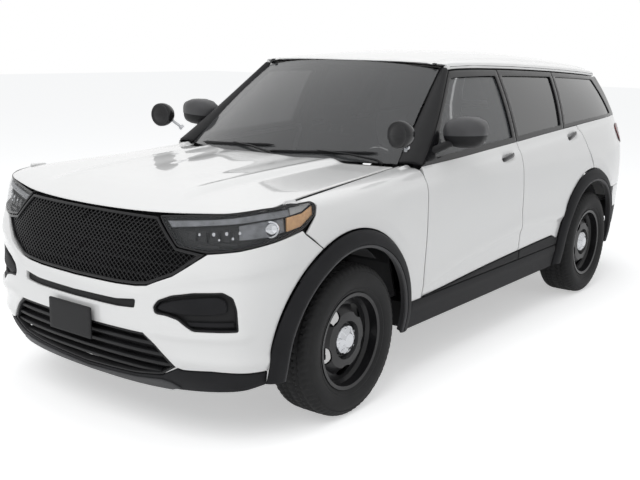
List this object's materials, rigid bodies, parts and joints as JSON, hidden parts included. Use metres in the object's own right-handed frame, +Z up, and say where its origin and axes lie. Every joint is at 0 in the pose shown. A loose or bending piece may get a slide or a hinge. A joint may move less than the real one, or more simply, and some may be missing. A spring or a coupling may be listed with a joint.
{
  "type": "police patrol car",
  "caption": "Full-size five-door utility patrol car with opening doors, hood and tailgate, steered front wheels and rolling steel wheels.",
  "frame": {"origin": "on the ground under the middle of the overall length and width", "axes": "+Z up, front of the car towards -Y, its left side towards +X"},
  "size_m": [2.2432, 5.0516, 1.7649],
  "materials": {
    "paint": "gloss",
    "bumper": "gloss",
    "trim_black": "satin",
    "underbody": "matte",
    "lamp_clear": "gloss",
    "lamp_red": "gloss",
    "glass_clear": "gloss",
    "glass_dark": "gloss",
    "engine_metal": "matte",
    "chassis": "satin",
    "exhaust_steel": "satin",
    "cabin_plastic": "matte",
    "seat_cloth": "matte",
    "tyre": "matte",
    "wheel_steel": "satin"
  },
  "bodies": {
    "car_body": {"floor_pan": "underbody", "body_side_left": "trim_black", "body_side_right": "trim_black", "quarter_panel_left": "paint", "quarter_panel_right": "paint", "roof_panel": "paint", "fender_left": "paint", "fender_right": "paint", "front_bumper": "bumper", "rear_bumper": "bumper", "grille": "trim_black", "headlamps": "lamp_clear", "tail_lamps": "lamp_red", "windscreen": "glass_clear", "cowl": "trim_black", "quarter_glass": "glass_dark", "side_cladding": "trim_black", "engine": "engine_metal", "front_subframe": "chassis", "rear_suspension": "chassis", "exhaust": "exhaust_steel", "fuel_tank": "trim_black", "dashboard": "cabin_plastic", "front_seats": "seat_cloth", "rear_seat": "seat_cloth", "spotlights": "trim_black", "door_hinges": "chassis"},
    "hood_lid": {"hood": "paint"},
    "tailgate": {"liftgate": "paint", "liftgate_glass": "glass_dark"},
    "steering": {"steering_wheel": "cabin_plastic"},
    "front_door_left_leaf": {"front_door_left": "paint", "front_door_glass_left": "glass_clear", "mirror_left": "trim_black"},
    "rear_door_left_leaf": {"rear_door_left": "paint", "rear_door_glass_left": "glass_dark"},
    "front_left_upright": {"front_knuckle_left": "chassis"},
    "front_left_roadwheel": {"tyre_front_left": "tyre", "wheel_front_left": "wheel_steel"},
    "rear_left_roadwheel": {"tyre_rear_left": "tyre", "wheel_rear_left": "wheel_steel"},
    "front_door_right_leaf": {"front_door_right": "paint", "front_door_glass_right": "glass_clear", "mirror_right": "trim_black"},
    "rear_door_right_leaf": {"rear_door_right": "paint", "rear_door_glass_right": "glass_dark"},
    "front_right_upright": {"front_knuckle_right": "chassis"},
    "front_right_roadwheel": {"tyre_front_right": "tyre", "wheel_front_right": "wheel_steel"},
    "rear_right_roadwheel": {"tyre_rear_right": "tyre", "wheel_rear_right": "wheel_steel"}
  },
  "joints": [
    {"name": "front_door_left_hinge", "type": "hinge", "parent": "car_body", "child": "front_door_left_leaf", "pos_m": [0.94644, -0.882, 0.775], "axis": [0, 0, -1], "range_deg": [0, 66]},
    {"name": "rear_door_left_hinge", "type": "hinge", "parent": "car_body", "child": "rear_door_left_leaf", "pos_m": [0.95045, 0.286, 0.775], "axis": [0, 0, -1], "range_deg": [0, 66]},
    {"name": "front_left_steer", "type": "hinge", "parent": "car_body", "child": "front_left_upright", "pos_m": [0.77, -1.625, 0.378], "axis": [0, 0, 1], "range_deg": [-33, 33]},
    {"name": "front_left_wheel_spin", "type": "hinge", "parent": "front_left_upright", "child": "front_left_roadwheel", "pos_m": [0.85, -1.625, 0.378], "axis": [1, 0, 0], "continuous": true},
    {"name": "rear_left_wheel_spin", "type": "hinge", "parent": "car_body", "child": "rear_left_roadwheel", "pos_m": [0.85, 1.4, 0.378], "axis": [1, 0, 0], "continuous": true},
    {"name": "front_door_right_hinge", "type": "hinge", "parent": "car_body", "child": "front_door_right_leaf", "pos_m": [-0.94644, -0.882, 0.775], "axis": [0, 0, 1], "range_deg": [0, 66]},
    {"name": "rear_door_right_hinge", "type": "hinge", "parent": "car_body", "child": "rear_door_right_leaf", "pos_m": [-0.95045, 0.286, 0.775], "axis": [0, 0, 1], "range_deg": [0, 66]},
    {"name": "front_right_steer", "type": "hinge", "parent": "car_body", "child": "front_right_upright", "pos_m": [-0.77, -1.625, 0.378], "axis": [0, 0, 1], "range_deg": [-33, 33]},
    {"name": "front_right_wheel_spin", "type": "hinge", "parent": "front_right_upright", "child": "front_right_roadwheel", "pos_m": [-0.85, -1.625, 0.378], "axis": [1, 0, 0], "continuous": true},
    {"name": "rear_right_wheel_spin", "type": "hinge", "parent": "car_body", "child": "rear_right_roadwheel", "pos_m": [-0.85, 1.4, 0.378], "axis": [1, 0, 0], "continuous": true},
    {"name": "hood_hinge", "type": "hinge", "parent": "car_body", "child": "hood_lid", "pos_m": [0, -0.955, 1.14], "axis": [-1, 0, 0], "range_deg": [0, 50]},
    {"name": "tailgate_hinge", "type": "hinge", "parent": "car_body", "child": "tailgate", "pos_m": [0, 2.104, 1.674], "axis": [1, 0, 0], "range_deg": [0, 80]},
    {"name": "steering_wheel_turn", "type": "hinge", "parent": "car_body", "child": "steering", "pos_m": [0.37, -0.47, 1], "axis": [0, 0.8988, 0.4384], "range_deg": [-480, 480]}
  ],
  "couplings": [
    {"joint": "front_left_steer", "follows": "steering_wheel_turn", "ratio": 0.06875},
    {"joint": "front_right_steer", "follows": "steering_wheel_turn", "ratio": 0.06875}
  ]
}
